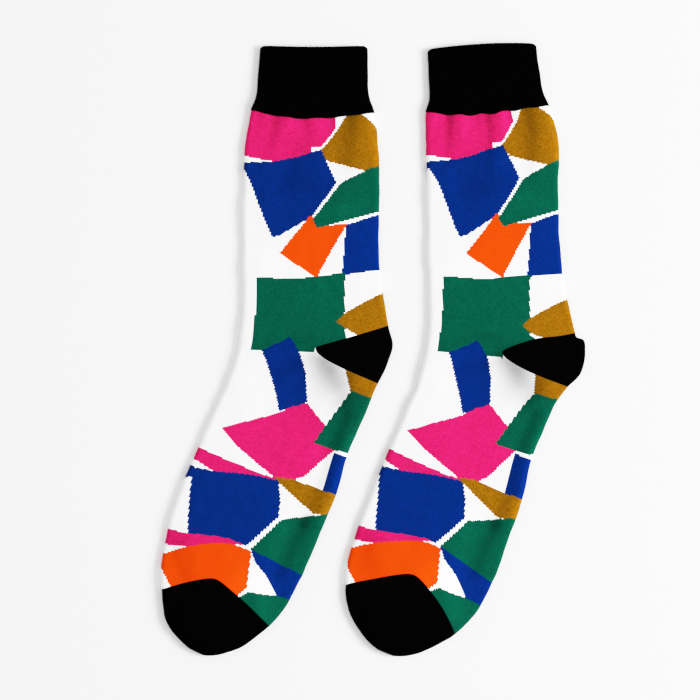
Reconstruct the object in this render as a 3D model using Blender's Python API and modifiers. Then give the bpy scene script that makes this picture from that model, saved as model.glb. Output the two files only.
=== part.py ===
"""A pair of crew socks laid flat side by side, cuffs up and toes to the lower left.

Each sock is a flattened knitted tube with an open mouth: a cuff, one piece for the leg and
foot, a heel pocket set into a slit over the back half, and a toe cap closed at its tip.
A section is a chord across the flat tube, from the front (instep) edge to the back (sole)
edge. "Across" runs from 0 at the front edge to 1 at the back edge, and "along" is the
distance down the sock from its mouth. The under layer lies flat, and the upper layer lies
on it and turns over into it at two rounded side folds.
"""

import math

import bmesh
import bpy
import numpy as np

MM = 0.001

# The cloth, in millimetres
WALL = 1.4
SEAM_GAP = 0.44
CROWN = 1.1  # how far the upper layer rises between its side folds
FOLD_ROUND = 1.25  # a side fold's width, as a share of its height above the middle

# The mesh: how many faces cross each stretch of a ring, and how long a row of them is
FOLD_STEPS = 2
LAYER_STEPS = (6, 6)  # from the front fold to the heel's point, and on to the back fold
TIP_STEPS = 3
ROW_LENGTH = 14.5
SEAM_ROW = 0.8  # a short row beside each seam, so that both edges there face the same way
HEEL_ROWS = 6
HEEL_COLUMN = FOLD_STEPS + LAYER_STEPS[0]  # the column that the heel's point lies on
SLANT_STEP = 0.01  # the share across over which a seam's slant is taken
HEEL_POINT_GAPS = 2.5  # seam gaps between the slit's edges where the heel's own point stands
RISE_FOLDS = 3  # fold widths over which the upper layer's lift comes in beside a fold
MERGE = 0.01

# One row for each section of the tube, in millimetres
SECTION_COLUMNS = ("name", "front_x", "front_y", "back_x", "back_y", "height")
LEFT_SECTIONS = (
    ("mouth", -78.0, 212.0, -4.3, 212.0, 4.8),
    ("cuff", -80.0, 192.0, -4.2, 192.0, 4.9),
    ("cuff_low", -81.4, 176.0, -2.9, 175.5, 5.1),
    ("cuff_end", -85.0, 167.0, 0.5, 165.0, 5.4),
    ("leg_top", -88.3, 150.0, 2.8, 149.0, 5.3),
    ("calf", -90.6, 112.0, 4.4, 112.0, 5.2),
    ("leg_low", -90.8, 66.0, 4.2, 66.0, 5.2),
    ("ankle", -90.6, 40.0, 6.4, 41.0, 5.3),
    ("heel_top", -92.0, 16.0, 10.9, 16.5, 5.5),
    ("heel_back", -93.2, 7.0, 14.0, 4.5, 5.6),
    ("heel_under", -95.4, -4.0, 10.2, -9.0, 5.6),
    ("heel_end", -98.6, -14.5, 3.6, -24.0, 5.6),
    ("arch_1", -102.8, -25.5, -4.0, -41.5, 5.5),
    ("arch_2", -107.8, -36.0, -12.0, -59.0, 5.4),
    ("arch_3", -114.0, -50.0, -19.0, -77.5, 5.3),
    ("foot_1", -120.8, -65.5, -26.0, -101.5, 5.3),
    ("foot_2", -132.0, -91.0, -37.4, -129.5, 5.4),
    ("foot_3", -143.0, -124.0, -50.8, -160.5, 5.5),
    ("foot_4", -148.0, -153.0, -63.0, -182.5, 5.6),
    ("toe_top", -147.6, -167.6, -72.5, -193.4, 5.6),
    ("toe_1", -147.0, -178.8, -82.0, -201.4, 5.5),
    ("toe_2", -145.0, -188.4, -92.0, -208.2, 5.4),
    ("toe_3", -140.8, -196.4, -102.5, -212.2, 5.3),
    ("toe_4", -135.2, -203.0, -110.6, -214.0, 5.2),
    ("tip", -128.8, -208.9, -118.2, -214.0, 5.2),
)
RIGHT_SECTIONS = (
    ("mouth", 38.5, 211.0, 113.2, 215.2, 4.8),
    ("cuff", 39.4, 190.0, 116.0, 193.0, 4.9),
    ("cuff_low", 39.8, 174.0, 118.8, 178.0, 5.1),
    ("cuff_end", 37.2, 165.6, 122.6, 170.0, 5.4),
    ("leg_top", 37.0, 149.0, 128.4, 152.0, 5.3),
    ("calf", 38.0, 112.0, 129.4, 113.0, 5.2),
    ("leg_low", 38.2, 68.0, 130.8, 70.0, 5.2),
    ("ankle", 39.0, 41.0, 134.2, 40.0, 5.3),
    ("heel_top", 39.0, 16.0, 141.2, 11.3, 5.6),
    ("heel_step", 38.7, 13.4, 141.8, 8.7, 5.7),
    ("heel_out", 38.3, 10.0, 147.0, 6.6, 5.8),
    ("heel_back", 37.7, 5.0, 148.2, -1.5, 5.8),
    ("heel_under", 36.0, -5.0, 145.0, -16.5, 5.8),
    ("heel_end", 33.2, -16.5, 136.2, -26.4, 5.7),
    ("arch_1", 29.6, -28.0, 127.0, -39.0, 5.5),
    ("arch_2", 24.8, -39.0, 119.0, -56.0, 5.4),
    ("arch_3", 18.6, -53.5, 111.4, -75.5, 5.3),
    ("foot_1", 11.2, -70.5, 103.6, -106.5, 5.3),
    ("foot_2", 1.6, -94.0, 93.8, -135.0, 5.4),
    ("foot_3", -9.6, -122.0, 83.4, -163.0, 5.5),
    ("foot_4", -18.4, -151.0, 69.4, -187.0, 5.6),
    ("toe_top", -19.2, -164.4, 57.4, -199.0, 5.6),
    ("toe_1", -18.2, -177.4, 48.6, -204.4, 5.5),
    ("toe_2", -14.8, -188.0, 39.6, -209.2, 5.4),
    ("toe_3", -9.4, -196.8, 30.2, -212.8, 5.3),
    ("toe_4", -3.0, -204.6, 21.8, -214.4, 5.2),
    ("tip", 3.4, -210.0, 14.2, -214.4, 5.2),
)

# Where the seams between the pieces run, in millimetres and shares of the way across
SEAM_COLUMNS = (
    "mouth_at_folds", "mouth_in_middle", "cuff_sag", "cuff_lean", "heel_point_across",
    "heel_point_past_back", "heel_top_curve", "heel_end_curve", "toe_rise",
    "toe_peak_across", "toe_peak_round",
)
LEFT_SEAMS = (0.0, 1.0, 5.6, 0.25, 0.497, 4.5, 0.85, 0.57, 20.5, 0.43, 0.05)
RIGHT_SEAMS = (1.5, 0.0, 4.2, 0.5, 0.475, 4.0, 0.62, 0.62, 27.5, 0.48, 0.06)

# The largest folds: a soft ridge (or trough, where the height is negative) from one place
# on the upper layer to another, with its half width, in millimetres and shares across
FOLD_COLUMNS = ("across_1", "along_1", "across_2", "along_2", "half_width", "height")
LEFT_FOLDS = (
    (0.26, 50.0, 0.24, 76.0, 5.0, -0.7),
    (0.42, 50.0, 0.42, 74.0, 5.0, 0.6),
    (0.62, 50.0, 0.63, 78.0, 5.5, -0.8),
    (0.80, 50.0, 0.82, 72.0, 4.5, 0.5),
    (0.46, 214.0, 0.24, 262.0, 10.0, -1.4),
    (0.86, 262.0, 0.84, 420.0, 6.0, -0.8),
    (0.60, 400.0, 0.62, 430.0, 14.0, 0.7),
)
RIGHT_FOLDS = (
    (0.20, 50.0, 0.20, 80.0, 5.0, -0.9),
    (0.34, 50.0, 0.35, 76.0, 5.0, 0.7),
    (0.50, 50.0, 0.50, 82.0, 5.0, -1.0),
    (0.70, 50.0, 0.72, 80.0, 5.0, -0.8),
    (0.86, 50.0, 0.87, 74.0, 4.5, 0.6),
    (0.44, 216.0, 0.22, 262.0, 10.0, -1.4),
    (0.87, 262.0, 0.85, 410.0, 6.0, -0.7),
)

BLACK_KNIT = ("black_knit", (0.004, 0.004, 0.005, 1.0), 0.9)
BLOCK_KNIT = ("white_knit_with_blocks", (0.88, 0.88, 0.89, 1.0), 0.85)


def smooth(places, values, at):
    """Cubic curve through the values at those places, with slopes from their neighbours."""
    values = np.asarray(values, float)
    at = np.clip(np.asarray(at, float), places[0], places[-1])
    slopes = np.gradient(values, places)
    left = np.clip(np.searchsorted(places, at, side="right") - 1, 0, len(places) - 2)
    step = places[left + 1] - places[left]
    part = (at - places[left]) / step
    start = (1 + 2 * part) * (1 - part) ** 2 * values[left]
    start += part * (1 - part) ** 2 * step * slopes[left]
    end = part**2 * (3 - 2 * part) * values[left + 1]
    end -= part**2 * (1 - part) * step * slopes[left + 1]
    return start + end


class Sock:
    """One flattened tube: where each place across and along it lies in space."""

    def __init__(self, sections, seams, folds):
        self.rows = [dict(zip(SECTION_COLUMNS, row)) for row in sections]
        self.seams = dict(zip(SEAM_COLUMNS, seams))
        self.folds = [dict(zip(FOLD_COLUMNS, row)) for row in folds]
        front = np.array([(row["front_x"], row["front_y"]) for row in self.rows])
        back = np.array([(row["back_x"], row["back_y"]) for row in self.rows])
        steps = np.linalg.norm(np.diff(front, axis=0), axis=1)
        steps = (steps + np.linalg.norm(np.diff(back, axis=0), axis=1)) / 2
        self.places = np.concatenate(([0.0], np.cumsum(steps)))
        self.length = self.places[-1]

    def column(self, name, along):
        return smooth(self.places, [row[name] for row in self.rows], along)

    def place_of(self, name):
        """Distance along the sock of the named section."""
        names = [row["name"] for row in self.rows]
        return self.places[names.index(name)]

    def width(self, along):
        run_x = self.column("back_x", along) - self.column("front_x", along)
        run_y = self.column("back_y", along) - self.column("front_y", along)
        return np.hypot(run_x, run_y)

    def fold_width(self, along):
        return FOLD_ROUND * self.column("height", along) / 2

    def relief(self, across, along):
        """Height of the folds of the upper layer at a place on it."""
        total = np.zeros_like(across)
        width = self.width(along)
        for fold in self.folds:
            run = ((fold["across_2"] - fold["across_1"]) * width, fold["along_2"] - fold["along_1"])
            away = ((across - fold["across_1"]) * width, along - fold["along_1"])
            length_2 = run[0] ** 2 + run[1] ** 2
            part = np.clip((away[0] * run[0] + away[1] * run[1]) / length_2, 0, 1)
            gap = np.hypot(away[0] - part * run[0], away[1] - part * run[1])
            total += fold["height"] * np.exp(-((gap / fold["half_width"]) ** 2))
        return total

    def point(self, across, along, turn):
        """The surface over one place: turn is 1 on the upper layer, -1 on the under layer."""
        width = self.width(along)
        half = self.column("height", along) / 2
        fold = self.fold_width(along)
        edge = np.minimum(across, 1 - across) * width
        rounding = np.sqrt(np.clip(1 - np.clip(1 - edge / fold, 0, 1) ** 2, 0, 1))
        tip = np.clip(1 - (self.length - along) / fold, 0, 1)
        closing = np.sqrt(np.clip(1 - tip**2, 0, 1))
        z = half + turn * half * rounding * closing
        inside = np.clip((edge - fold) / (RISE_FOLDS * fold), 0, 1) * closing
        arch = 4 * across * (1 - across)  # a parabola, 1 in the middle
        lift = CROWN * arch + self.relief(across, along)
        z = z + np.where(turn > 0, lift * inside, 0)
        x = self.column("front_x", along) * (1 - across) + self.column("back_x", along) * across
        y = self.column("front_y", along) * (1 - across) + self.column("back_y", along) * across
        return np.stack([x, y, z], axis=-1)

    def shares(self, along):
        """Places across one layer, from the front edge to the back edge."""
        angles = np.linspace(0, math.pi / 2, FOLD_STEPS + 1)
        turned = self.fold_width(along) / self.width(along) * (1 - np.cos(angles))
        middle = self.seams["heel_point_across"]
        front = np.linspace(turned[-1], middle, LAYER_STEPS[0] + 1)
        back = np.linspace(middle, 1 - turned[-1], LAYER_STEPS[1] + 1)
        return np.concatenate((turned[:-1], front[:-1], back[:-1], 1 - turned[::-1]))

    def ring(self, along_of, point=None):
        """One ring of points, or only the part behind the heel's point, which it starts with.

        along_of gives the distance along for a share across.
        """
        upper = self.shares(float(along_of(0.5)))
        if point is None:
            lower = upper[-2:0:-1]
        else:
            upper = np.concatenate(([point], upper[HEEL_COLUMN + 1:]))
            lower = upper[-2::-1]
        across = np.concatenate((upper, lower))
        turn = np.concatenate((np.ones(len(upper)), -np.ones(len(lower))))
        along = np.array([float(along_of(share)) for share in across])
        return self.point(across, along, turn)

    def gap(self, seam, across):
        """The distance along that keeps two edges a seam gap apart, more where they slant."""
        low, high = max(0.0, across - SLANT_STEP), min(1.0, across + SLANT_STEP)
        rise = (seam(high) - seam(low)) / ((high - low) * self.width(seam(across)))
        return SEAM_GAP * math.hypot(1, rise)

    def mouth(self, across):
        """The open edge, a shallow curve below the top section."""
        ends, middle = self.seams["mouth_at_folds"], self.seams["mouth_in_middle"]
        return ends + (middle - ends) * math.sin(math.pi * across)

    def cuff_seam(self, across):
        """A sagging curve. The lean moves its lowest place from the middle to the front."""
        leaned = across + self.seams["cuff_lean"] * across * (1 - across)
        return self.place_of("cuff_end") + self.seams["cuff_sag"] * math.sin(math.pi * leaned)

    def toe_seam(self, across):
        """A tent across the foot, with a round peak towards the heel."""
        peak, round_by = self.seams["toe_peak_across"], self.seams["toe_peak_round"]
        away = math.hypot(across - peak, round_by) - round_by
        reach = peak if across < peak else 1 - peak
        edge = math.hypot(reach, round_by) - round_by
        return self.place_of("toe_top") - self.seams["toe_rise"] * (1 - away / edge)

    def heel_point(self):
        return self.place_of("heel_back") + self.seams["heel_point_past_back"]

    def heel_seam(self, across, end):
        """The slit's edge: a rising curve from its point to the back edge at the end section."""
        start = self.seams["heel_point_across"]
        part = max(0.0, (across - start) / (1 - start)) ** self.seams[end + "_curve"]
        return self.heel_point() + (self.place_of(end) - self.heel_point()) * part


def skin(rings, closed, zipped=False):
    """A quad surface over rings of equal count. zipped joins the last ring's two layers."""
    mesh = bmesh.new()
    grid = [[mesh.verts.new(point * MM) for point in ring] for ring in rings]
    count = len(grid[0])
    for upper, lower in zip(grid, grid[1:]):
        for i in range(count if closed else count - 1):
            j = (i + 1) % count
            mesh.faces.new((upper[i], lower[i], lower[j], upper[j]))
    if zipped:
        bmesh.ops.remove_doubles(mesh, verts=grid[-1], dist=MERGE * MM)
    return mesh


def knit_piece(name, mesh, material, collection):
    """Gives a surface its wall, inwards, and puts it in the collection."""
    data = bpy.data.meshes.new(name)
    mesh.to_mesh(data)
    mesh.free()
    data.shade_smooth()
    data.materials.append(material)
    piece = bpy.data.objects.new(name, data)
    collection.objects.link(piece)
    wall = piece.modifiers.new("wall", "SOLIDIFY")
    wall.thickness = WALL * MM
    wall.offset = -1
    wall.use_even_offset = True
    return piece


def between(first, last, part):
    """The row at that part of the way from one seam to the other."""
    return lambda across: first(across) + (last(across) - first(across)) * part


def row_parts(length, short_first=False, short_last=False):
    """The rows' places, as shares of their stretch, with a short row at the ends named."""
    low = SEAM_ROW / length if short_first else 0.0
    high = 1 - SEAM_ROW / length if short_last else 1.0
    parts = list(np.linspace(low, high, max(2, round(length / ROW_LENGTH)) + 1))
    return [0.0] * short_first + parts + [1.0] * short_last


def make_cuff(sock, name, material, collection):
    def end(across):
        return sock.cuff_seam(across) - sock.gap(sock.cuff_seam, across) / 2

    parts = row_parts(end(0.5), short_last=True)
    rings = [sock.ring(between(sock.mouth, end, part)) for part in parts]
    return knit_piece(name, skin(rings, True), material, collection)


def make_leg_and_foot(sock, name, material, collection):
    """The rows of the leg and of the foot share their front half at the heel's point."""

    def top(across):
        return sock.cuff_seam(across) + sock.gap(sock.cuff_seam, across) / 2

    def slit_top(across):
        return sock.heel_seam(across, "heel_top")

    def slit_end(across):
        return sock.heel_seam(across, "heel_end")

    def end(across):
        return sock.toe_seam(across) - sock.gap(sock.toe_seam, across) / 2

    leg = row_parts(slit_top(0.0) - top(0.0), short_first=True, short_last=True)
    foot = row_parts(end(0.0) - slit_end(0.0), short_first=True, short_last=True)
    mesh = skin([sock.ring(between(top, slit_top, part)) for part in leg], True)
    lower = skin([sock.ring(between(slit_end, end, part)) for part in foot], True)
    data = bpy.data.meshes.new(name)
    lower.to_mesh(data)
    lower.free()
    mesh.from_mesh(data)
    bpy.data.meshes.remove(data)
    bmesh.ops.remove_doubles(mesh, verts=mesh.verts, dist=MERGE * MM)
    return knit_piece(name, mesh, material, collection)


def make_heel(sock, name, material, collection):
    """The wedge in the slit. Its point stands behind the slit's own, where the slit's first
    straight stretches are wide enough apart for a seam gap on either side."""
    start, after = sock.shares(sock.heel_point())[HEEL_COLUMN:HEEL_COLUMN + 2]
    above = sock.heel_seam(after, "heel_top")
    below = sock.heel_seam(after, "heel_end")
    part = HEEL_POINT_GAPS * SEAM_GAP / (below - above)
    point = start + (after - start) * part
    point_along = sock.heel_point() + ((above + below) / 2 - sock.heel_point()) * part

    def slit_top(across):
        return sock.heel_seam(across, "heel_top")

    def slit_end(across):
        return sock.heel_seam(across, "heel_end")

    def top(across):
        return slit_top(across) + sock.gap(slit_top, across) if across > point else point_along

    def end(across):
        return slit_end(across) - sock.gap(slit_end, across) if across > point else point_along

    short = SEAM_ROW / (slit_end(1.0) - slit_top(1.0))
    parts = [0.0, *np.linspace(short, 1 - short, HEEL_ROWS), 1.0]
    mesh = skin([sock.ring(between(top, end, part), point) for part in parts], False)
    bmesh.ops.remove_doubles(mesh, verts=mesh.verts, dist=MERGE * MM)
    return knit_piece(name, mesh, material, collection)


def make_toe(sock, name, material, collection):
    """The cap's rows crowd towards the tip, where its two layers meet."""

    fold = sock.fold_width(sock.length)

    def top(across):
        return sock.toe_seam(across) + sock.gap(sock.toe_seam, across) / 2

    def round_start(across):
        return sock.length - fold

    parts = row_parts(round_start(0.0) - top(0.0), short_first=True)[:-1]
    rows = [between(top, round_start, part) for part in parts]
    for angle in np.linspace(0, math.pi / 2, TIP_STEPS + 1):
        rows.append(lambda across, reach=fold * (1 - math.sin(angle)): sock.length - reach)
    rings = [sock.ring(row) for row in rows]
    return knit_piece(name, skin(rings, True, zipped=True), material, collection)


def make_material(name, colour, roughness):
    material = bpy.data.materials.new(name)
    material.use_nodes = True
    shader = material.node_tree.nodes["Principled BSDF"]
    shader.inputs["Base Color"].default_value = colour
    shader.inputs["Roughness"].default_value = roughness
    shader.inputs["Metallic"].default_value = 0.0
    return material


def centre(pieces):
    """Moves the meshes so that the middle of the pair's underside is at the origin."""
    points = np.array([vertex.co for piece in pieces for vertex in piece.data.vertices])
    low, high = points.min(axis=0), points.max(axis=0)
    shift = np.array([(low[0] + high[0]) / 2, (low[1] + high[1]) / 2, low[2]])
    for piece in pieces:
        for vertex in piece.data.vertices:
            vertex.co = [value - move for value, move in zip(vertex.co, shift)]


def build():
    for item in list(bpy.data.objects):
        bpy.data.objects.remove(item)
    collection = bpy.data.collections.new("pair_of_socks")
    bpy.context.scene.collection.children.link(collection)
    black = make_material(*BLACK_KNIT)
    blocks = make_material(*BLOCK_KNIT)
    pieces = []
    for side, sections, seams, folds in (
        ("left", LEFT_SECTIONS, LEFT_SEAMS, LEFT_FOLDS),
        ("right", RIGHT_SECTIONS, RIGHT_SEAMS, RIGHT_FOLDS),
    ):
        sock = Sock(sections, seams, folds)
        pieces.append(make_cuff(sock, f"{side}_cuff", black, collection))
        pieces.append(make_leg_and_foot(sock, f"{side}_leg_and_foot", blocks, collection))
        pieces.append(make_heel(sock, f"{side}_heel", black, collection))
        pieces.append(make_toe(sock, f"{side}_toe", black, collection))
    centre(pieces)


build()
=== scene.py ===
import math

import bmesh
import bpy
import numpy as np
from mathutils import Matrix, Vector


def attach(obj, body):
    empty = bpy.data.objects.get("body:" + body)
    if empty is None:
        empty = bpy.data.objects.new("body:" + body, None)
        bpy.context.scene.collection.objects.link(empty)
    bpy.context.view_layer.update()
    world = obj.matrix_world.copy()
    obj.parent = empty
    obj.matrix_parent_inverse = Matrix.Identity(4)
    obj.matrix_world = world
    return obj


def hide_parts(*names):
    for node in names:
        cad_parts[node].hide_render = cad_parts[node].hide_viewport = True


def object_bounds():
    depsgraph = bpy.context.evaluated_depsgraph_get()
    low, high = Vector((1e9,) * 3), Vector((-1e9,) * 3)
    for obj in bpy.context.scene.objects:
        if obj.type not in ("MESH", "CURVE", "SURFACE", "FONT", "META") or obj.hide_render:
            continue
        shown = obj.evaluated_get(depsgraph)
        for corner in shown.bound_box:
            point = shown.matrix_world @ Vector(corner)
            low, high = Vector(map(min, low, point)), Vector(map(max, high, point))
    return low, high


# A pair of crew socks laid flat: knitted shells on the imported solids, and the look of the knit.
# Lengths below are in millimetres until a mesh is made.

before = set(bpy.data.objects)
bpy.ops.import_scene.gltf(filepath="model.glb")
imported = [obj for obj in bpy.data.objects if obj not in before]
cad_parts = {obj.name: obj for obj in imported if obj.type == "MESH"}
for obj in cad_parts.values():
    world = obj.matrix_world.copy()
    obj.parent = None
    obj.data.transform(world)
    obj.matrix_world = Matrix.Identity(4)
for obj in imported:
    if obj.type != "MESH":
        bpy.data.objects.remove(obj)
cadLow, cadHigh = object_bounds()
mm = 0.001

knit = {
    "wales": 84,  # wales across one layer, so twice that round the tube
    "waleWidth": 1.12,
    "courseHeight": 0.88,
    "thickness": 1.4,
    "foldRound": 1.25,  # a side fold's width against its height above the middle
    "crown": 1.1,  # how much the middle of the upper layer stands over its edges
    "crownRise": 3,  # over how many fold widths it gets there
    "seamPower": 4,  # how closely only the rows beside a seam bend with it
    "merge": 0.002,
}

leftSock = {
    "side": "left",
    "seed": 11,
    "sections": (  # name, front x, front y, back x, back y, height
        ("mouth", -78.0, 212.0, -4.3, 212.0, 4.8),
        ("cuff", -80.0, 192.0, -4.2, 192.0, 4.9),
        ("cuffLow", -81.4, 176.0, -2.9, 175.5, 5.1),
        ("cuffEnd", -85.0, 167.0, 0.5, 165.0, 5.4),
        ("legTop", -88.3, 150.0, 2.8, 149.0, 5.3),
        ("calf", -90.6, 112.0, 4.4, 112.0, 5.2),
        ("legLow", -90.8, 66.0, 4.2, 66.0, 5.2),
        ("ankle", -90.6, 40.0, 6.4, 41.0, 5.3),
        ("heelTop", -92.0, 16.0, 10.9, 16.5, 5.5),
        ("heelBack", -93.2, 7.0, 14.0, 4.5, 5.6),
        ("heelUnder", -95.4, -4.0, 10.2, -9.0, 5.6),
        ("heelEnd", -98.6, -14.5, 3.6, -24.0, 5.6),
        ("arch1", -102.8, -25.5, -4.0, -41.5, 5.5),
        ("arch2", -107.8, -36.0, -12.0, -59.0, 5.4),
        ("arch3", -114.0, -50.0, -19.0, -77.5, 5.3),
        ("foot1", -120.8, -65.5, -26.0, -101.5, 5.3),
        ("foot2", -132.0, -91.0, -37.4, -129.5, 5.4),
        ("foot3", -143.0, -124.0, -50.8, -160.5, 5.5),
        ("foot4", -148.0, -153.0, -63.0, -182.5, 5.6),
        ("toeTop", -147.6, -167.6, -72.5, -193.4, 5.6),
        ("toe1", -147.0, -178.8, -82.0, -201.4, 5.5),
        ("toe2", -145.0, -188.4, -92.0, -208.2, 5.4),
        ("toe3", -140.8, -196.4, -102.5, -212.2, 5.3),
        ("toe4", -135.2, -203.0, -110.6, -214.0, 5.2),
        ("tip", -128.8, -208.9, -118.2, -214.0, 5.2),
    ),
    "mouthAtFolds": 0.0,  # how far the open edge lies below the first section
    "mouthInMiddle": 1.0,
    "cuffSag": 5.6,
    "cuffLean": 0.25,  # moves the lowest place of the seam towards the front
    "cuffWave": (0.35, 4.2, 0.3),  # height, waves across, start
    "twist": ((0, 0, 0, 0), (412, 0, 0, 0)),  # course, wales turned, courses slipped in front, behind
    "heelWale": 42,
    "heelPastBack": 4.5,
    "heelTopCurve": 0.85,
    "heelEndCurve": 0.57,
    "toeRise": 20.5,
    "toeAcross": 0.43,
    "toeRound": 0.05,
}

rightSock = {
    "side": "right",
    "seed": 23,
    "sections": (
        ("mouth", 38.5, 211.0, 113.2, 215.2, 4.8),
        ("cuff", 39.4, 190.0, 116.0, 193.0, 4.9),
        ("cuffLow", 39.8, 174.0, 118.8, 178.0, 5.1),
        ("cuffEnd", 37.2, 165.6, 122.6, 170.0, 5.4),
        ("legTop", 37.0, 149.0, 128.4, 152.0, 5.3),
        ("calf", 38.0, 112.0, 129.4, 113.0, 5.2),
        ("legLow", 38.2, 68.0, 130.8, 70.0, 5.2),
        ("ankle", 39.0, 41.0, 134.2, 40.0, 5.3),
        ("heelTop", 39.0, 16.0, 141.2, 11.3, 5.6),
        ("heelStep", 38.7, 13.4, 141.8, 8.7, 5.7),
        ("heelOut", 38.3, 10.0, 147.0, 6.6, 5.8),
        ("heelBack", 37.7, 5.0, 148.2, -1.5, 5.8),
        ("heelUnder", 36.0, -5.0, 145.0, -16.5, 5.8),
        ("heelEnd", 33.2, -16.5, 136.2, -26.4, 5.7),
        ("arch1", 29.6, -28.0, 127.0, -39.0, 5.5),
        ("arch2", 24.8, -39.0, 119.0, -56.0, 5.4),
        ("arch3", 18.6, -53.5, 111.4, -75.5, 5.3),
        ("foot1", 11.2, -70.5, 103.6, -106.5, 5.3),
        ("foot2", 1.6, -94.0, 93.8, -135.0, 5.4),
        ("foot3", -9.6, -122.0, 83.4, -163.0, 5.5),
        ("foot4", -18.4, -151.0, 69.4, -187.0, 5.6),
        ("toeTop", -19.2, -164.4, 57.4, -199.0, 5.6),
        ("toe1", -18.2, -177.4, 48.6, -204.4, 5.5),
        ("toe2", -14.8, -188.0, 39.6, -209.2, 5.4),
        ("toe3", -9.4, -196.8, 30.2, -212.8, 5.3),
        ("toe4", -3.0, -204.6, 21.8, -214.4, 5.2),
        ("tip", 3.4, -210.0, 14.2, -214.4, 5.2),
    ),
    "mouthAtFolds": 1.5,
    "mouthInMiddle": 0.0,
    "cuffSag": 4.2,
    "cuffLean": 0.5,
    "cuffWave": (0.65, 5.4, 0.1),
    "twist": (
        (0, 0, -1, -1), (30, 0, -1, -3), (58, 2, -2, -4), (90, 2, -3, -2), (130, 1, -5, 0), (180, -1, 0, 0),
        (196, -1.5, 0, 0), (206, -2, 0, 2), (260, -3, -3, 3), (320, -3, -2, 2), (385, -2, -4, 0),
        (412, -1, -2, 0),
    ),
    "heelWale": 40,
    "heelPastBack": 4.0,
    "heelTopCurve": 0.62,
    "heelEndCurve": 0.62,
    "toeRise": 27.5,
    "toeAcross": 0.48,
    "toeRound": 0.06,
}


# Cubic curve through the values at those places, with slopes from the places beside them.
def smooth(places, values, at):
    at = np.clip(np.asarray(at, float), places[0], places[-1])
    slopes = np.gradient(values, places)
    left = np.clip(np.searchsorted(places, at, side="right") - 1, 0, len(places) - 2)
    step = places[left + 1] - places[left]
    part = (at - places[left]) / step
    start = (1 + 2 * part) * (1 - part) ** 2 * values[left]
    start = start + part * (1 - part) ** 2 * step * slopes[left]
    end = part**2 * (3 - 2 * part) * values[left + 1]
    return start + end - part**2 * (1 - part) * step * slopes[left + 1]


class Sock:
    # A flattened tube. A wale number goes round it: 0 at the front fold, 84 at the back fold,
    # the upper layer between them. "along" is the distance down from the mouth.

    def __init__(self, spec):
        self.spec = spec
        rows = np.array([row[1:] for row in spec["sections"]])
        self.names = [row[0] for row in spec["sections"]]
        self.frontX, self.frontY, self.backX, self.backY, self.heights = rows.T
        front = np.hypot(np.diff(self.frontX), np.diff(self.frontY))
        back = np.hypot(np.diff(self.backX), np.diff(self.backY))
        self.places = np.concatenate(([0.0], np.cumsum((front + back) / 2)))
        self.length = self.places[-1]

    def place(self, name):
        return self.places[self.names.index(name)]

    # Chord across the tube: its two ends, its length, the fold's half height, width and arc.
    def chord(self, along):
        ends = [smooth(self.places, v, along) for v in (self.frontX, self.frontY, self.backX, self.backY)]
        width = np.hypot(ends[2] - ends[0], ends[3] - ends[1])
        half = smooth(self.places, self.heights, along) / 2
        fold = knit["foldRound"] * half
        return (*ends, width, half, fold, math.pi / 4 * (fold + half))

    # Share across of a wale: round the nearer fold by its arc, then straight over the layer.
    def across(self, wale, along):
        width, half, fold, quarter = self.chord(along)[4:]
        perWale = (width - 2 * fold + 2 * quarter) / knit["wales"]
        fromFront, fromBack = np.abs(wale) * perWale, np.abs(knit["wales"] - wale) * perWale
        fromFold = np.minimum(fromFront, fromBack)
        angle = np.clip(fromFold / quarter, 0, 1) * math.pi / 2
        edge = fold * (1 - np.cos(angle)) + np.maximum(fromFold - quarter, 0)
        atFront = fromFront <= fromBack
        return np.where(atFront, edge, width - edge) / width, angle, atFront, edge

    # Surface point = chord point + height of the layer, moved out by lift along the section's
    # own normal (level at a fold's outermost line, upright over the flat of a layer).
    def surface(self, wale, along, lift=0.0):
        frontX, frontY, backX, backY, width, half, fold, quarter = self.chord(along)
        share, angle, atFront, edge = self.across(wale, along)
        turn = np.where((wale >= 0) & (wale <= knit["wales"]), 1.0, -1.0)
        tip = np.clip(1 - (self.length - along) / fold, 0, 1)
        closing = np.sqrt(1 - tip**2)
        z = half + turn * half * np.sin(angle) * closing
        inside = np.clip((edge - fold) / (knit["crownRise"] * fold), 0, 1) * closing
        z = z + np.where(turn > 0, knit["crown"] * 4 * share * (1 - share) * inside, 0)
        outward = np.where(atFront, -1.0, 1.0) * np.cos(angle) * lift / width
        x = frontX + (backX - frontX) * (share + outward)
        y = frontY + (backY - frontY) * (share + outward)
        return np.stack([x, y, z + turn * np.sin(angle) * lift], axis=-1)

    def cuffSeam(self, share):
        height, waves, start = self.spec["cuffWave"]
        leaned = share + self.spec["cuffLean"] * share * (1 - share)
        sag = self.spec["cuffSag"] * np.sin(math.pi * leaned)
        wave = height * np.sin(math.pi * share) * np.cos(2 * math.pi * (waves * share + start))
        return self.place("cuffEnd") + sag + wave

    # A tent across the foot with a round peak towards the heel.
    def toeSeam(self, share):
        peak, roundBy = self.spec["toeAcross"], self.spec["toeRound"]
        away = np.hypot(share - peak, roundBy) - roundBy
        reach = np.where(share < peak, peak, 1 - peak)
        edge = np.hypot(reach, roundBy) - roundBy
        return self.place("toeTop") - self.spec["toeRise"] * (1 - away / edge)

    def heelPoint(self):
        return self.place("heelBack") + self.spec["heelPastBack"]

    # Curve from the heel's point to the back fold at the end section.
    def heelSeam(self, share, end):
        start = self.across(self.spec["heelWale"], self.heelPoint())[0]
        part = np.clip((share - start) / (1 - start), 0, 1) ** self.spec[end + "Curve"]
        return self.heelPoint() + (self.place(end) - self.heelPoint()) * part


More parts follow.
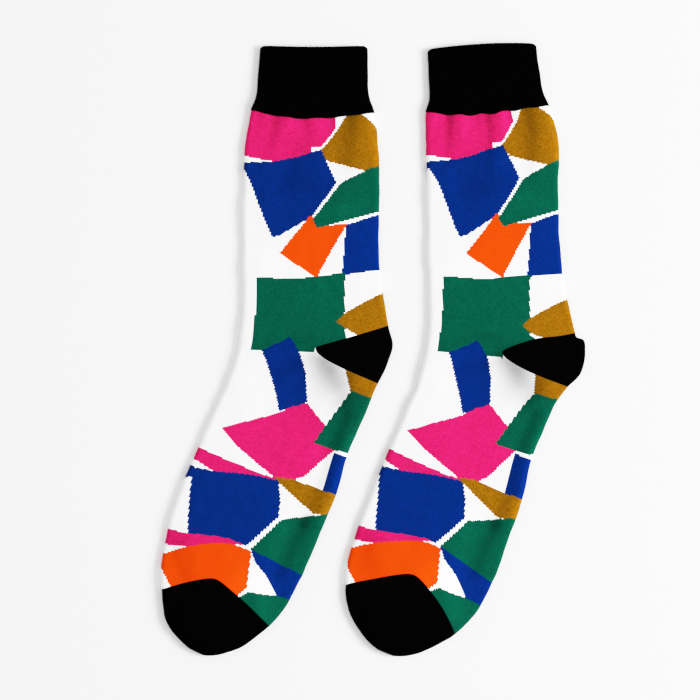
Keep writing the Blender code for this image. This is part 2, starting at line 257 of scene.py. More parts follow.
# Soft creases. Each runs over the cloth from one wale and distance along to another, with its
# half width and height where it starts, and the share of that height lost by its end.
creaseNames = ("wale1", "along1", "wale2", "along2", "halfWidth", "height", "fade")
leftSock["creases"] = (
    (8, 48, 5, 62, 2.6, -0.7, 0.9),
    (19, 48, 16, 78, 3.8, -1.4, 0.8),
    (28, 48, 27, 68, 3.2, 0.7, 0.8),
    (37, 48, 39, 74, 3.6, -1.1, 0.8),
    (47, 49, 47, 66, 3.0, 0.7, 0.8),
    (55, 49, 56, 70, 3.0, -0.9, 0.9),
    (66, 48, 61, 84, 6.5, -1.6, 0.5),
    (78, 52, 79, 82, 4.6, 1.1, 0.4),
    (49, 221, 66, 245, 10.0, -2.4, 0.1),
    (47, 232, 56, 262, 13.0, -0.9, 0.6),
    (40, 218, 20, 236, 6.0, -0.9, 0.6),
    (36, 206, 12, 214, 5.0, -0.6, 0.7),
    (60, 246, 52, 276, 5.0, 0.5, 0.8),
    (74, 226, 69, 240, 4.0, 0.8, 0.6),
    (73, 256, 72, 330, 4.2, -1.3, 0.2),
    (72, 330, 70, 370, 4.6, -1.2, 0.4),
    (62, 384, 72, 402, 8.0, 1.5, 0.1),
    (80, 268, 80, 326, 3.0, 0.8, 0.3),
    (59, 336, 62, 372, 7.0, 0.9, 0.4),
    (50, 384, 44, 402, 9.0, 1.3, 0.3),
    (8, 376, 22, 404, 8.0, -1.0, 0.4),
    (12, 236, 30, 300, 9.0, 0.4, 0.6),
    (30, 96, 62, 104, 9.0, -0.5, 0.7),
    (12, 150, 50, 170, 10.0, 0.5, 0.7),
    (60, 116, 74, 112, 7.0, 0.6, 0.5),
    (34, 74, 30, 118, 9.0, -0.5, 0.6),
    (-20, 48, -18, 72, 3.4, -0.4, 0.8),
    (-32, 48, -33, 64, 3.0, -0.4, 0.8),
    (100, 48, 101, 70, 3.4, -0.4, 0.8),
    (114, 48, 113, 66, 3.2, -0.4, 0.8),
    (122, 222, 104, 250, 5.0, -0.5, 0.6),
    (-30, 220, -12, 240, 5.0, -0.4, 0.6),
)
rightSock["creases"] = (
    (7, 49, 5, 64, 2.4, 0.5, 0.9),
    (16, 49, 13, 84, 3.8, -1.8, 0.8),
    (25, 49, 24, 72, 3.2, 0.9, 0.8),
    (34, 50, 34, 70, 3.0, -0.9, 0.9),
    (41, 50, 38, 88, 4.0, -1.7, 0.8),
    (50, 50, 50, 72, 3.2, 0.9, 0.8),
    (57, 50, 57, 70, 3.0, -0.9, 0.9),
    (67, 50, 63, 86, 6.5, -1.7, 0.5),
    (79, 54, 80, 84, 4.6, 1.1, 0.4),
    (47, 225, 63, 248, 10.0, -2.4, 0.1),
    (45, 234, 54, 264, 13.0, -0.9, 0.6),
    (39, 222, 20, 238, 6.0, -0.9, 0.6),
    (35, 209, 10, 216, 5.0, -0.6, 0.7),
    (60, 250, 52, 280, 5.0, 0.5, 0.8),
    (76, 230, 71, 244, 4.0, 0.8, 0.6),
    (74, 262, 72, 334, 4.2, -1.2, 0.2),
    (72, 334, 70, 372, 4.6, -1.2, 0.4),
    (60, 386, 70, 404, 8.0, 1.4, 0.1),
    (81, 272, 81, 330, 3.0, 0.8, 0.3),
    (56, 338, 60, 374, 7.0, 0.9, 0.4),
    (50, 382, 42, 400, 9.0, 1.2, 0.3),
    (8, 380, 20, 410, 8.0, -0.9, 0.4),
    (12, 236, 30, 300, 9.0, 0.4, 0.6),
    (26, 102, 60, 96, 9.0, -0.5, 0.7),
    (16, 160, 52, 150, 10.0, 0.5, 0.7),
    (58, 110, 74, 116, 7.0, 0.6, 0.5),
    (30, 78, 32, 120, 9.0, -0.5, 0.6),
    (-18, 50, -17, 74, 3.4, -0.4, 0.8),
    (-33, 50, -32, 66, 3.0, -0.4, 0.8),
    (98, 50, 99, 72, 3.4, -0.4, 0.8),
    (112, 50, 113, 66, 3.2, -0.4, 0.8),
    (122, 224, 104, 252, 5.0, -0.5, 0.6),
    (-30, 222, -12, 242, 5.0, -0.4, 0.6),
)


# Height of all creases together: each is a bell over the distance to its line.
def creaseHeight(creases, wale, along):
    total = np.zeros(np.broadcast(wale, along).shape)
    around = 2 * knit["wales"]
    for row in creases:
        crease = dict(zip(creaseNames, row))
        runX = (crease["wale2"] - crease["wale1"]) * knit["waleWidth"]
        runY = crease["along2"] - crease["along1"]
        awayX = (wale - crease["wale1"] + knit["wales"]) % around - knit["wales"]
        awayX = awayX * knit["waleWidth"]
        awayY = along - crease["along1"]
        part = np.clip((awayX * runX + awayY * runY) / (runX**2 + runY**2), 0, 1)
        gap = np.hypot(awayX - part * runX, awayY - part * runY)
        bell = np.exp(-((gap / crease["halfWidth"]) ** 2))
        total += crease["height"] * (1 - crease["fade"] * part) * bell
    return total


ripple = {"waves": 26, "height": 0.16, "shortest": 9.0, "longest": 46.0}


# Faint unevenness of handled cloth: a sum of plane waves that close round the tube.
def rippleHeight(wale, along, seed):
    chance = np.random.default_rng(seed)
    total = np.zeros(np.broadcast(wale, along).shape)
    around = 2 * knit["wales"]
    for wave in range(ripple["waves"]):
        length = chance.uniform(ripple["shortest"], ripple["longest"])
        heading = chance.uniform(0, math.pi)
        turns = round(around * knit["waleWidth"] / length * math.cos(heading))
        start = chance.uniform(0, 2 * math.pi)
        height = ripple["height"] * math.sqrt(length / ripple["longest"] / ripple["waves"])
        angle = turns * wale / around + along * math.sin(heading) / length
        total += 2 * height * np.cos(2 * math.pi * angle + start)
    return total


# Lift of the cloth over the plain tube. Under the sock it only draws in, off the table.
def clothLift(sock, wale, along):
    wave = rippleHeight(wale, along, sock.spec["seed"])
    upper = (wale >= 0) & (wale <= knit["wales"])
    return creaseHeight(sock.spec["creases"], wale, along) + np.where(upper, wave, -np.abs(wave))


# One mesh from grids of points (rows, columns, xyz), each with its stitch map (rows, columns,
# then wale, course and the height of the creases there). Points that coincide are merged, so
# rings and rims close.
def gridMesh(name, grids):
    points, maps, quads, base = [], [], [], 0
    for xyz, stitches in grids:
        rows, columns = xyz.shape[:2]
        index = base + np.arange(rows * columns).reshape(rows, columns)
        corners = (index[:-1, :-1], index[1:, :-1], index[1:, 1:], index[:-1, 1:])
        quads.append(np.stack(corners, axis=-1).reshape(-1, 4))
        points.append(xyz.reshape(-1, 3))
        maps.append(stitches.reshape(-1, 3))
        base += rows * columns
    points, maps, quads = (np.concatenate(part) for part in (points, maps, quads))
    points[:, :2] += plan
    points[:, 2] = np.maximum(points[:, 2], 0)
    mesh = bpy.data.meshes.new(name)
    mesh.from_pydata((points * mm).tolist(), [], quads.tolist())
    maps = maps[quads.ravel()]
    mesh.uv_layers.new(name="stitches").data.foreach_set("uv", maps[:, :2].ravel())
    # crease height at each corner, which the jacquard material turns into painted shade in creases and
    # painted highlight on ridges
    mesh.attributes.new("crease", "FLOAT", "CORNER").data.foreach_set("value", maps[:, 2])
    work = bmesh.new()
    work.from_mesh(mesh)
    bmesh.ops.remove_doubles(work, verts=work.verts, dist=knit["merge"] * mm)
    bmesh.ops.dissolve_degenerate(work, edges=work.edges, dist=knit["merge"] * mm)
    bmesh.ops.recalc_face_normals(work, faces=work.faces)
    work.to_mesh(mesh)
    work.free()
    mesh.shade_smooth()
    return mesh


def stitchMaps(sock, wale, along, course):
    creases = creaseHeight(sock.spec["creases"], wale, along)
    return np.stack([wale, np.broadcast_to(course, wale.shape), creases], axis=-1)


# A run of rows from one seam to another, as whole arrays. Given the two level places between
# the seams, the rows lie level and bend into each seam by a power of their nearness to it.
def runs(first, last, rows, level=None):
    parts = np.linspace(0, 1, rows + 1)[:, None]
    if level is None:
        return first + (last - first) * parts
    start, end = level
    power = knit["seamPower"]
    bend = (first - start) * (1 - parts) ** power + (last - end) * parts**power
    return start + (end - start) * parts + bend


class Seams:
    # Where a sock's seams lie, as distances along, for a row of wales.

    def __init__(self, sock, wales):
        def shareAt(place):
            return sock.across(wales, np.full(wales.shape, place))[0]

        self.cuff = sock.cuffSeam(shareAt(sock.place("cuffEnd")))
        self.heelTop = sock.heelSeam(shareAt(sock.heelPoint()), "heelTop")
        self.heelEnd = sock.heelSeam(shareAt(sock.heelPoint()), "heelEnd")
        self.toe = sock.toeSeam(shareAt(sock.place("toeTop")))


def frontWales(sock):
    return np.arange(-sock.spec["heelWale"], sock.spec["heelWale"] + 1.0)


def backWales(sock):
    return np.arange(sock.spec["heelWale"], 2 * knit["wales"] - sock.spec["heelWale"] + 1.0)


body = {
    "legCourses": 190,
    "footCourses": 222,
    "innerStep": 6,  # courses to a row on the inner side, which hardly shows
    "tuck": 1.6,  # how far it runs under the cuff, how deep, and how fast it gets there
    "tuckDepth": 0.45,
    "tuckSlope": 0.8,
}


# Leg and foot, one quad to a stitch. A profile runs down the outer side and back up the inner
# side, and is carried round the tube: once over the front half, where leg and foot are one,
# and once each over the leg and the foot behind, so that the slit for the heel stays open.
def legAndFoot(sock):
    grids = []
    heel, toe = body["legCourses"], body["legCourses"] + body["footCourses"]
    step = body["innerStep"]
    innerRows = np.concatenate((np.arange(0, heel, step), np.arange(heel, toe, step), [toe]))
    for wales, first, last in (
        (frontWales(sock), 0, toe),
        (backWales(sock), 0, heel),
        (backWales(sock), heel, toe),
    ):
        seams = Seams(sock, wales)
        top, middle, end = sock.place("cuffEnd"), sock.heelPoint(), sock.place("toeTop")
        leg = runs(seams.cuff - body["tuck"], seams.heelTop, body["legCourses"], (top, middle))
        foot = runs(seams.heelEnd, seams.toe, body["footCourses"], (middle, end))
        rows = np.concatenate((leg, foot[1:]) if first == 0 else (leg[:-1], foot))
        outer = np.arange(first, last + 1)
        inner = innerRows[(innerRows >= first) & (innerRows <= last)][::-1]
        course = np.concatenate((outer, inner, outer[:1]))[:, None]
        inset = knit["thickness"] * np.repeat((0, 1, 0), (len(outer), len(inner), 1))[:, None]
        along = rows[course[:, 0]]
        wale = np.broadcast_to(wales, along.shape)
        tucked = np.clip((seams.cuff - along) / body["tuckSlope"] + 0.5, 0, 1)
        lift = clothLift(sock, wale, along) - body["tuckDepth"] * tucked - inset
        grids.append((sock.surface(wale, along, lift), stitchMaps(sock, wale, along, course)))
    return gridMesh(sock.spec["side"] + "_leg_and_foot_knit", grids)


heelAndToe = {
    "rowLength": 1.7,
    "tipRows": 9,
    "calm": 3,  # how many fold widths before the tip the creases start to fade
}


# Heel: rows between the slit's two edges, which meet in a point on either layer.
def heelPocket(sock):
    wales = backWales(sock)
    seams = Seams(sock, wales)
    rows = round((sock.place("heelEnd") - sock.place("heelTop")) / heelAndToe["rowLength"])
    along = runs(seams.heelTop, seams.heelEnd, rows)
    wale = np.broadcast_to(wales, along.shape)
    stitches = stitchMaps(sock, wale, along, along / knit["courseHeight"])
    xyz = sock.surface(wale, along, clothLift(sock, wale, along))
    return gridMesh(sock.spec["side"] + "_heel_knit", [(xyz, stitches)])


# Toe: rows from its seam to where the tip starts to turn over, then crowding round it by the
# sine of an angle until both layers meet.
def toeCap(sock):
    wales = np.concatenate((frontWales(sock), backWales(sock)[1:]))
    seams = Seams(sock, wales)
    fold = float(sock.chord(sock.length)[6])
    straight = np.full(wales.shape, sock.length - fold)
    rows = round((sock.length - fold - seams.toe.min()) / heelAndToe["rowLength"])
    turn = np.sin(np.linspace(0, math.pi / 2, heelAndToe["tipRows"] + 1))[1:, None]
    along = np.concatenate((runs(seams.toe, straight, rows), straight + fold * turn))
    wale = np.broadcast_to(wales, along.shape)
    lasting = np.clip((sock.length - along) / (heelAndToe["calm"] * fold), 0, 1)
    stitches = stitchMaps(sock, wale, along, along / knit["courseHeight"])
    xyz = sock.surface(wale, along, clothLift(sock, wale, along) * lasting)
    return gridMesh(sock.spec["side"] + "_toe_knit", [(xyz, stitches)])


rib = {
    "ribs": 84,  # round the whole cuff
    "columnsPerRib": 6,
    "depth": 0.26,
    "wall": 1.7,
    "proud": 0.3,  # how far the rib stands out over the leg's knit
    "rowLength": 2.2,
    "innerRowLength": 4.4,
    "hemRows": 7,
    "inside": 40.0,  # how far down the inner side runs
    "follow": 0.6,  # share of the leg's creases that reaches the thicker rib
    "corner": 1.2,  # how far the mouth's corners are rounded off, and over what width
    "cornerReach": 1.4,
}


# Cuff: a profile of rows up the outside, round the mouth in a half circle and down the inside,
# carried round the tube; the outer side rises and falls with a cosine for each rib. Past three
# quarters of the way round, the wales are counted back from the front fold.
def ribCuff(sock):
    around = 2 * knit["wales"]
    wales = np.linspace(0, around, rib["ribs"] * rib["columnsPerRib"] + 1)
    fromFront = np.where(wales > 3 / 4 * around, wales - around, wales)
    seams = Seams(sock, fromFront)
    share = sock.across(fromFront, np.zeros(wales.shape))[0]
    fromFold = np.minimum(share, 1 - share) * sock.chord(0.0)[4]
    corner = rib["corner"] * np.exp(-fromFold / rib["cornerReach"])
    hem = rib["wall"] / 2
    ends, middle = sock.spec["mouthAtFolds"], sock.spec["mouthInMiddle"]
    mouth = ends + (middle - ends) * np.sin(math.pi * share) + corner + hem
    angles = np.linspace(0, math.pi, rib["hemRows"] + 2)[1:-1, None]
    outer = runs(seams.cuff, mouth, round(sock.place("cuffEnd") / rib["rowLength"]))
    bottom = np.full(wales.shape, rib["inside"])
    inner = runs(mouth, bottom, round(rib["inside"] / rib["innerRowLength"]))
    along = np.concatenate((outer, mouth - hem * np.sin(angles), inner, outer[:1]))
    outside = np.concatenate((np.ones(len(outer)), np.cos(angles[:, 0]), -np.ones(len(inner)), [1]))[:, None]
    ribs = np.cos(2 * math.pi * wales * rib["ribs"] / around) * np.clip(outside, 0, 1)
    wale = np.broadcast_to(fromFront, along.shape)
    lift = rib["proud"] - hem * (1 - outside) + rib["depth"] * ribs
    lift = lift + clothLift(sock, wale, along) * rib["follow"]
    course = np.arange(len(along))[:, None] * rib["rowLength"] / knit["courseHeight"]
    stitches = stitchMaps(sock, np.broadcast_to(wales, along.shape), along, course)
    return gridMesh(sock.spec["side"] + "_cuff_rib", [(sock.surface(wale, along, lift), stitches)])


# The knitting chart, shared by both socks: blocks of one yarn, each with its corners as
# (wale, course) pairs in order round it. Later blocks lie over earlier ones. Wales 0 to 84 are
# the upper layer; below 0 and above 84 the blocks go on under the sock.
yarnNames = ("white", "pink", "blue", "green", "mustard", "orange")
blocks = (
    ("pink", (-12, -2), (57, -2), (57, 11), (54, 17), (48, 27), (42, 27), (42, 34), (22, 40), (0, 37),
     (-12, 35)),
    ("mustard", (47, 31), (50, 26), (58, 13), (62, 5), (67, -2), (71, -2), (76, 3), (80, 9), (83, 15),
     (90, 24), (90, 46), (79, 50), (52, 39)),
    ("blue", (-8, 42), (2, 42), (22, 39), (48, 29), (57, 57), (43, 84), (23, 100), (19, 101), (16, 93),
     (5, 56), (1, 47), (-3, 53), (-8, 60)),
    ("orange", (42, 83), (49, 92), (64, 91), (45, 134), (23, 114)),
    ("green", (59, 58), (63, 55), (78, 46), (96, 43), (94, 82), (82, 82), (46, 94), (43, 87)),
    ("blue", (63, 92), (72, 88), (82, 84), (98, 84), (98, 130), (60, 134), (62, 112)),
    ("green", (9, 133), (30, 134), (46, 133), (62, 132), (60, 160), (58, 190), (42, 190), (42, 194),
     (8, 194)),
    ("mustard", (54, 173), (62, 166), (86, 152), (102, 156), (102, 190), (64, 190)),
    ("blue", (14, 194), (28, 182), (34, 194), (44, 217), (49, 230), (42, 242), (36, 246), (26, 223)),
    ("mustard", (62, 190), (104, 190), (100, 211), (70, 209)),
    ("pink", (49, 231), (66, 244), (72, 253), (75, 260), (70, 271), (63, 287), (56, 296), (47, 298),
     (37, 294), (22, 285), (9, 273), (21, 261), (36, 248)),
    ("green", (70, 207), (94, 206), (94, 257), (74, 260), (62, 260)),
    ("blue", (75, 262), (90, 262), (90, 294), (75, 295)),
    ("mustard", (46, 298), (57, 293), (74, 292), (96, 289), (94, 304), (84, 308), (75, 312), (62, 306)),
    ("pink", (-10, 293), (3, 297), (20, 299), (40, 300), (48, 298), (47, 303), (30, 309), (16, 312),
     (3, 308), (-10, 304)),
    ("blue", (3, 314), (16, 311), (30, 305), (50, 299), (55, 312), (58, 326), (47, 363), (32, 366),
     (13, 367)),
    ("blue", (-8, 312), (4, 313), (4, 322), (-8, 330)),
    ("pink", (-14, 364), (1, 366), (13, 367), (32, 365), (46, 363), (32, 373), (20, 379), (-14, 376)),
    ("blue", (50, 363), (84, 358), (96, 362), (85, 384), (75, 388), (64, 377), (55, 372)),
    ("green", (60, 327), (84, 306), (98, 309), (96, 363), (82, 361), (50, 363)),
    ("orange", (-8, 385), (3, 384), (15, 378), (32, 371), (44, 366), (51, 365), (56, 398), (52, 414),
     (9, 414), (2, 396), (-8, 393)),
    ("green", (58, 400), (74, 388), (85, 383), (92, 383), (98, 414), (53, 414)),
    ("blue", (-36, 6), (-20, 4), (-17, 29), (-34, 33)),
    ("green", (-38, 43), (-14, 49), (-17, 91), (-40, 83)),
    ("orange", (-34, 103), (-16, 97), (-8, 123), (-26, 135)),
    ("pink", (-38, 148), (-12, 142), (-6, 172), (-30, 186)),
    ("mustard", (-36, 198), (-18, 192), (-10, 214), (-34, 226)),
    ("blue", (-34, 238), (-12, 232), (-8, 262), (-30, 280)),
    ("green", (-38, 308), (-18, 316), (-20, 352), (-38, 346)),
    ("mustard", (-34, 362), (-20, 380), (-24, 404), (-38, 396)),
    ("orange", (102, 5), (120, 9), (118, 36), (100, 30)),
    ("pink", (104, 56), (124, 50), (122, 87), (102, 91)),
    ("mustard", (106, 108), (122, 101), (120, 141), (108, 143)),
    ("orange", (104, 233), (122, 223), (124, 263), (106, 269)),
    ("pink", (104, 283), (120, 279), (122, 328), (106, 332)),
    ("blue", (106, 348), (124, 344), (120, 398), (108, 394)),
)


# A stitch lies in a block if a line from it along its course crosses the block's outline an odd
# number of times.
def yarnOf(wale, course):
    yarn = np.zeros(wale.shape)
    for name, *corners in blocks:
        inside = np.zeros(wale.shape, bool)
        for (x1, y1), (x2, y2) in zip(corners, corners[1:] + corners[:1]):
            if y1 != y2:
                beside = wale < x1 + (course - y1) * (x2 - x1) / (y2 - y1)
                inside ^= beside & ((y1 > course) != (y2 > course))
        yarn[inside] = yarnNames.index(name)
    return yarn


# Gives each face, which is one stitch, the number of its yarn. The twist has a row for each
# course: how many wales the chart has turned there, and how many courses it has slipped down
# at the front fold and at the back fold.
def knitChart(mesh, twist):
    starts = np.zeros(len(mesh.polygons), np.int32)
    totals = np.zeros(len(mesh.polygons), np.int32)
    mesh.polygons.foreach_get("loop_start", starts)
    mesh.polygons.foreach_get("loop_total", totals)
    uv = np.zeros(len(mesh.loops) * 2)
    mesh.uv_layers["stitches"].data.foreach_get("uv", uv)
    middle = np.add.reduceat(uv.reshape(-1, 2), starts, axis=0) / totals[:, None]
    places, turned, front, back = np.array(twist, float).T
    wale = middle[:, 0] - np.interp(middle[:, 1], places, turned)
    front, back = (np.interp(middle[:, 1], places, slip) for slip in (front, back))
    course = middle[:, 1] - front - (back - front) * np.clip(wale / knit["wales"], 0, 1)
    layer = mesh.attributes.new("yarn", "FLOAT", "FACE")
    layer.data.foreach_set("value", yarnOf(wale, course))


class Signal:
    # One output socket, with operators that add Math nodes beside it.

    def __init__(self, tree, socket):
        self.tree = tree
        self.socket = socket

    # Any node: its type, its settings, which are set first, and its inputs by name or number.
    def node(self, kind, settings=None, inputs=None, output=0):
        made = self.tree.nodes.new(kind)
        for key, value in (settings or {}).items():
            if key == "stops":
                fillRamp(made.color_ramp, value)
            else:
                setattr(made, key, value)
        for key, value in (inputs or {}).items():
            if isinstance(value, Signal):
                self.tree.links.new(value.socket, made.inputs[key])
            else:
                made.inputs[key].default_value = value
        return Signal(self.tree, made.outputs[output])

    # Another output of the same node.
    def out(self, name):
        return Signal(self.tree, self.socket.node.outputs[name])

    def math(self, operation, *values):
        return self.node("ShaderNodeMath", {"operation": operation}, dict(enumerate(values)))

    def __add__(self, other):
        return self.math("ADD", self, other)

    def __sub__(self, other):
        return self.math("SUBTRACT", self, other)

    def __rsub__(self, other):
        return self.math("SUBTRACT", other, self)

    def __mul__(self, other):
        return self.math("MULTIPLY", self, other)

    def __truediv__(self, other):
        return self.math("DIVIDE", self, other)

    def __rtruediv__(self, other):
        return self.math("DIVIDE", other, self)

    def __pow__(self, other):
        return self.math("POWER", self, other)

    def __rpow__(self, other):
        return self.math("POWER", other, self)

    def __abs__(self):
        return self.math("ABSOLUTE", self)

    __radd__ = __add__
    __rmul__ = __mul__

    def floor(self):
        return self.math("FLOOR", self)

    def fraction(self):
        return self.math("FRACT", self)

    def cosine(self):
        return self.math("COSINE", self * (2 * math.pi))


def fillRamp(ramp, stops):
    ramp.interpolation = "CONSTANT"
    while len(ramp.elements) < len(stops):
        ramp.elements.new(0.5)
    for element, (place, colour) in zip(ramp.elements, stops):
        element.position = place
        element.color = (*colour, 1)


# A material with only its Principled shader, and a Signal to start expressions from.
def blankMaterial(name, roughness, specular):
    material = bpy.data.materials.new(name)
    material.use_nodes = True
    shader = material.node_tree.nodes["Principled BSDF"]
    shader.inputs["Roughness"].default_value = roughness
    shader.inputs["Specular IOR Level"].default_value = specular
    return material, shader, Signal(material.node_tree, None)


def link(shader, name, signal):
    signal.tree.links.new(signal.socket, shader.inputs[name])


cloth = {
    "roughness": 0.95,
    "specular": 0.02,
    "colours": {
        "white": (0.9, 0.9, 0.905),
        "pink": (0.56, 0.0082, 0.092),
        "blue": (0.0006, 0.0138, 0.125),
        "green": (0.0006, 0.061, 0.034),
        "mustard": (0.203, 0.082, 0.0014),
        "orange": (0.77, 0.043, 0.001),
    },
    # how much each yarn is darkened by the mottle, its random part and the painted shade in each wale's
    # groove
    "mottle": {"white": 0.03, "pink": 0.36, "blue": 0.26, "green": 0.28, "mustard": 0.4, "orange": 0.1},
    "evenShade": 1.16,  # what the mottle's three parts take away from: random stitches, soft patches and painted shade in each wale's groove
    "patches": 0.9,
    "patchScale": 0.35,
    # amount of painted shade in the groove down each wale
    "paintedGrooveShade": 0.5,
    "grooveNarrow": 3,
    "paintedCreaseShading": 0.24,  # painted shade: share the yarn's colour is darkened for each millimetre of a crease's depth, and lightened as painted highlight for each millimetre of a ridge's height
    # cap on the colour's multiplier, which limits the painted highlight on ridges
    "brightest": 1.3,
    "stitchDepth": 0.0001,
}

stitch = {"legs": 0.6, "loops": 0.35, "lean": 1.3}  # heights of its legs and loops, slant of the loops


# 1 down the middle of a wale, where its two legs meet, and 0 between two wales: |sin| of the wale.
def waleGroove(wale):
    return abs((wale * 0.5 + 0.25).cosine())


# Height of plain knit from the stitch map: across a wale it falls into the groove; along it each
# loop is a cosine that leans up to the middle of the wale, which makes the V.
def stitchHeight(wale, course):
    fromMiddle = abs(wale.fraction() - 0.5)
    loops = (course + fromMiddle * stitch["lean"]).cosine()
    return (1 - waleGroove(wale)) * stitch["legs"] + loops * stitch["loops"]


def stitchMap(start):
    uv = start.node("ShaderNodeUVMap", {"uv_map": "stitches"})
    split = start.node("ShaderNodeSeparateXYZ", {}, {"Vector": uv})
    return uv, split.out("X"), split.out("Y")


# One even random value for each stitch.
def stitchChance(wale, course):
    cell = wale.node("ShaderNodeCombineXYZ", {}, {"X": wale.floor(), "Y": course.floor()})
    return cell.node("ShaderNodeTexWhiteNoise", {"noise_dimensions": "2D"}, {"Vector": cell})


def shaded(colour, shade):
    settings = {"data_type": "RGBA", "blend_type": "MULTIPLY"}
    return shade.node("ShaderNodeMix", settings, {0: 1.0, 6: colour, 7: shade}, 2)


def bumped(height, distance):
    return height.node("ShaderNodeBump", {}, {"Height": height, "Distance": distance, "Strength": 1.0})


# Fine noise over the stitch map, one patch to a few stitches.
def softPatches(uv, scale):
    return uv.node("ShaderNodeTexNoise", {}, {"Vector": uv, "Scale": scale, "Detail": 3.0}, "Fac")


# Coloured plain knit. Each yarn has its own colour and mottle: single stitches and soft patches are darker at
# random, painted shade lies in the groove down each wale, and the colour carries painted shade in a crease
# and a painted highlight on a ridge.
def jacquardKnit():
    material, shader, start = blankMaterial("jacquard_knit", cloth["roughness"], cloth["specular"])
    uv, wale, course = stitchMap(start)
    yarn = start.node("ShaderNodeAttribute", {"attribute_name": "yarn"}, output="Fac")
    place = (yarn + 0.5) / len(yarnNames)
    steps = [number / len(yarnNames) for number in range(len(yarnNames))]
    colours = [cloth["colours"][name] for name in yarnNames]
    mottleAndGrooveShadeDepths = [(cloth["mottle"][name],) * 3 for name in yarnNames]
    colour = start.node("ShaderNodeValToRGB", {"stops": list(zip(steps, colours))}, {"Fac": place})
    depth = start.node("ShaderNodeValToRGB", {"stops": list(zip(steps, mottleAndGrooveShadeDepths))}, {"Fac": place})
    chance = stitchChance(wale, course)
    patches = softPatches(uv, cloth["patchScale"]) * cloth["patches"]
    # painted shade in the groove down the middle of each wale
    paintedGrooveShade = waleGroove(wale) ** cloth["grooveNarrow"] * cloth["paintedGrooveShade"]
    creases = start.node("ShaderNodeAttribute", {"attribute_name": "crease"}, output="Fac")
    shade = 1 + (cloth["evenShade"] - chance - patches - paintedGrooveShade) * depth
    # painted shade in creases and painted highlight on ridges, from the crease height
    shade = start.math("MINIMUM", shade * (1 + creases * cloth["paintedCreaseShading"]), cloth["brightest"])
    link(shader, "Base Color", shaded(colour, shade))
    link(shader, "Normal", bumped(stitchHeight(wale, course), cloth["stitchDepth"]))
    return material


black = {
    "roughness": 0.9,
    "specular": 0.004,
    "colour": (0.0003, 0.0003, 0.00035),
    "plainDepth": 0.00016,
    "plainShade": {"least": 0.55, "chance": 0.5, "patches": 0.5},
    "patchScale": 0.3,
    "ribDepth": 0.0003,
    # rib colour: a least value, a painted highlight on the crest and random speckle
    "ribToneAndPaintedCrestLight": {"least": 0.3, "crest": 0.9, "chance": 0.35},
    "ribHeight": {"crest": 1.2, "stitch": 0.5},
}


def blackKnit():
    material, shader, start = blankMaterial("black_knit", black["roughness"], black["specular"])
    uv, wale, course = stitchMap(start)
    parts = black["plainShade"]
    chance = stitchChance(wale, course) * parts["chance"]
    shade = parts["least"] + chance + softPatches(uv, black["patchScale"]) * parts["patches"]
    link(shader, "Base Color", shaded((*black["colour"], 1), shade))
    link(shader, "Normal", bumped(stitchHeight(wale, course), black["plainDepth"]))
    return material


# Ribbed knit: one rib to two wales, its colour with a painted highlight on the crest and painted shade in the
# groove.
def blackRib():
    material, shader, start = blankMaterial("black_rib", black["roughness"], black["specular"])
    wale, course = stitchMap(start)[1:]
    crest = (wale * 0.5).cosine() * 0.5 + 0.5
    parts, heights = black["ribToneAndPaintedCrestLight"], black["ribHeight"]
    # painted highlight on each rib's crest and painted shade in its groove, plus random speckle per stitch
    shade = parts["least"] + crest * parts["crest"] + stitchChance(wale, course) * parts["chance"]
    link(shader, "Base Color", shaded((*black["colour"], 1), shade))
    height = crest * heights["crest"] + stitchHeight(wale, course) * heights["stitch"]
    link(shader, "Normal", bumped(height, black["ribDepth"]))
    return material


def addPiece(mesh, node, material, wall=0):
    piece = bpy.data.objects.new(mesh.name, mesh)
    bpy.context.scene.collection.objects.link(piece)
    mesh.materials.append(material)
    if wall:
        solid = piece.modifiers.new("wall", "SOLIDIFY")
        solid.thickness = wall * mm
        solid.offset = -1
        solid.use_even_offset = True
    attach(piece, "root")
    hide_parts(node)
    return piece


def buildSock(spec, jacquard, ribbed, plain):
    sock = Sock(spec)
    side = spec["side"]
    cuff = addPiece(ribCuff(sock), side + "_cuff", ribbed)
    print(side, "cuff ready")
    chart = legAndFoot(sock)
    knitChart(chart, spec["twist"])
    leg = addPiece(chart, side + "_leg_and_foot", jacquard)
    print(side, "leg and foot ready")
    heel = addPiece(heelPocket(sock), side + "_heel", plain, knit["thickness"])
    toe = addPiece(toeCap(sock), side + "_toe", plain, knit["thickness"])
    print(side, "heel and toe ready")


# Own tables placed as the frame is: the outlines' lowest x and y go to those of its box.
def planShift(steps=400):
    ends = []
    for spec in (leftSock, rightSock):
        sock = Sock(spec)
        chords = sock.chord(np.linspace(0, sock.length, steps))
        ends.append(np.concatenate((np.stack(chords[:2]), np.stack(chords[2:4])), axis=1))
    ends = np.concatenate(ends, axis=1)
    return np.array(cadLow[:2]) / mm - ends.min(axis=1)


plan = planShift()
print("plan shift", plan)
jacquard, ribBlack, plainBlack = jacquardKnit(), blackRib(), blackKnit()
for spec in (leftSock, rightSock):
    buildSock(spec, jacquard, ribBlack, plainBlack)

table = {"width": 6.0, "below": 0.00005, "colour": (0.85, 0.85, 0.85), "roughness": 0.9}


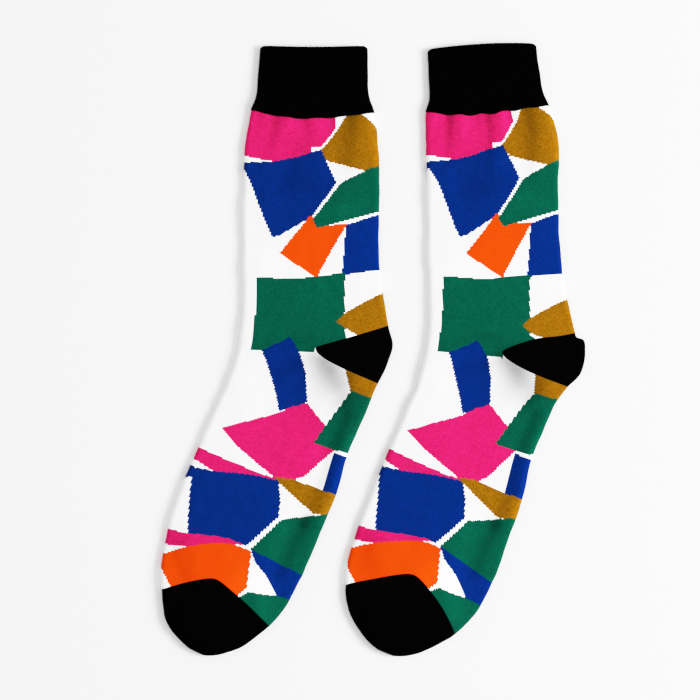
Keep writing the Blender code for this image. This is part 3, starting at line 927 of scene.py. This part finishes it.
def addTable():
    half = table["width"] / 2
    corners = [(x * half, y * half, -table["below"]) for x, y in ((-1, -1), (1, -1), (1, 1), (-1, 1))]
    mesh = bpy.data.meshes.new("table")
    mesh.from_pydata(corners, [], [(0, 1, 2, 3)])
    top = bpy.data.objects.new("table", mesh)
    bpy.context.scene.collection.objects.link(top)
    material, shader = blankMaterial("table_paint", table["roughness"], 0.0)[:2]
    shader.inputs["Base Color"].default_value = (*table["colour"], 1)
    mesh.materials.append(material)


light = {
    "surround": 1.08,  # even light from all round
    "lamps": (  # name, power, size, place
        ("key", 80.0, 0.8, (1.7, -0.05, 1.15)),
    ),
}


def addLight():
    world = bpy.data.worlds.new("studio")
    world.use_nodes = True
    background = world.node_tree.nodes["Background"]
    background.inputs["Color"].default_value = (1, 1, 1, 1)
    background.inputs["Strength"].default_value = light["surround"]
    bpy.context.scene.world = world
    for name, power, size, place in light["lamps"]:
        data = bpy.data.lights.new(name, "AREA")
        data.energy = power
        data.size = size
        lamp = bpy.data.objects.new(name, data)
        lamp.location = place
        lamp.rotation_euler = Vector(place).to_track_quat("Z", "Y").to_euler()
        bpy.context.scene.collection.objects.link(lamp)


view = {
    "x": -0.0161,
    "y": -0.00015,
    "height": 1.5,
    "field": 0.49,
    # how the film takes light, as (light, brightness) pairs: bright whites crowd together
    "film": (
        (0, 0), (0.2, 0.2), (0.4, 0.4), (0.7, 0.636), (1.0, 0.779), (1.35, 0.877), (1.7, 0.931), (2.4, 0.979),
    ),
}


# Straight down, as far as a hand-held camera would be, the field set by the lens.
def addCamera():
    lens = bpy.data.cameras.new("camera")
    lens.lens = lens.sensor_width * view["height"] / view["field"]
    camera = bpy.data.objects.new("camera", lens)
    camera.location = (view["x"], view["y"], view["height"])
    bpy.context.scene.collection.objects.link(camera)
    bpy.context.scene.camera = camera
    settings = bpy.context.scene.view_settings
    settings.view_transform = "Standard"
    settings.use_curve_mapping = True
    film = settings.curve_mapping
    brightest, whitest = view["film"][-1]
    film.white_level = (brightest,) * 3
    curve = film.curves[3]  # the one for all three colours
    for x, y in view["film"][1:-1]:
        curve.points.new(x / brightest, y)
    curve.points[-1].location = (1, whitest)
    film.update()


addTable()
addLight()
addCamera()
print("table, light and camera ready")
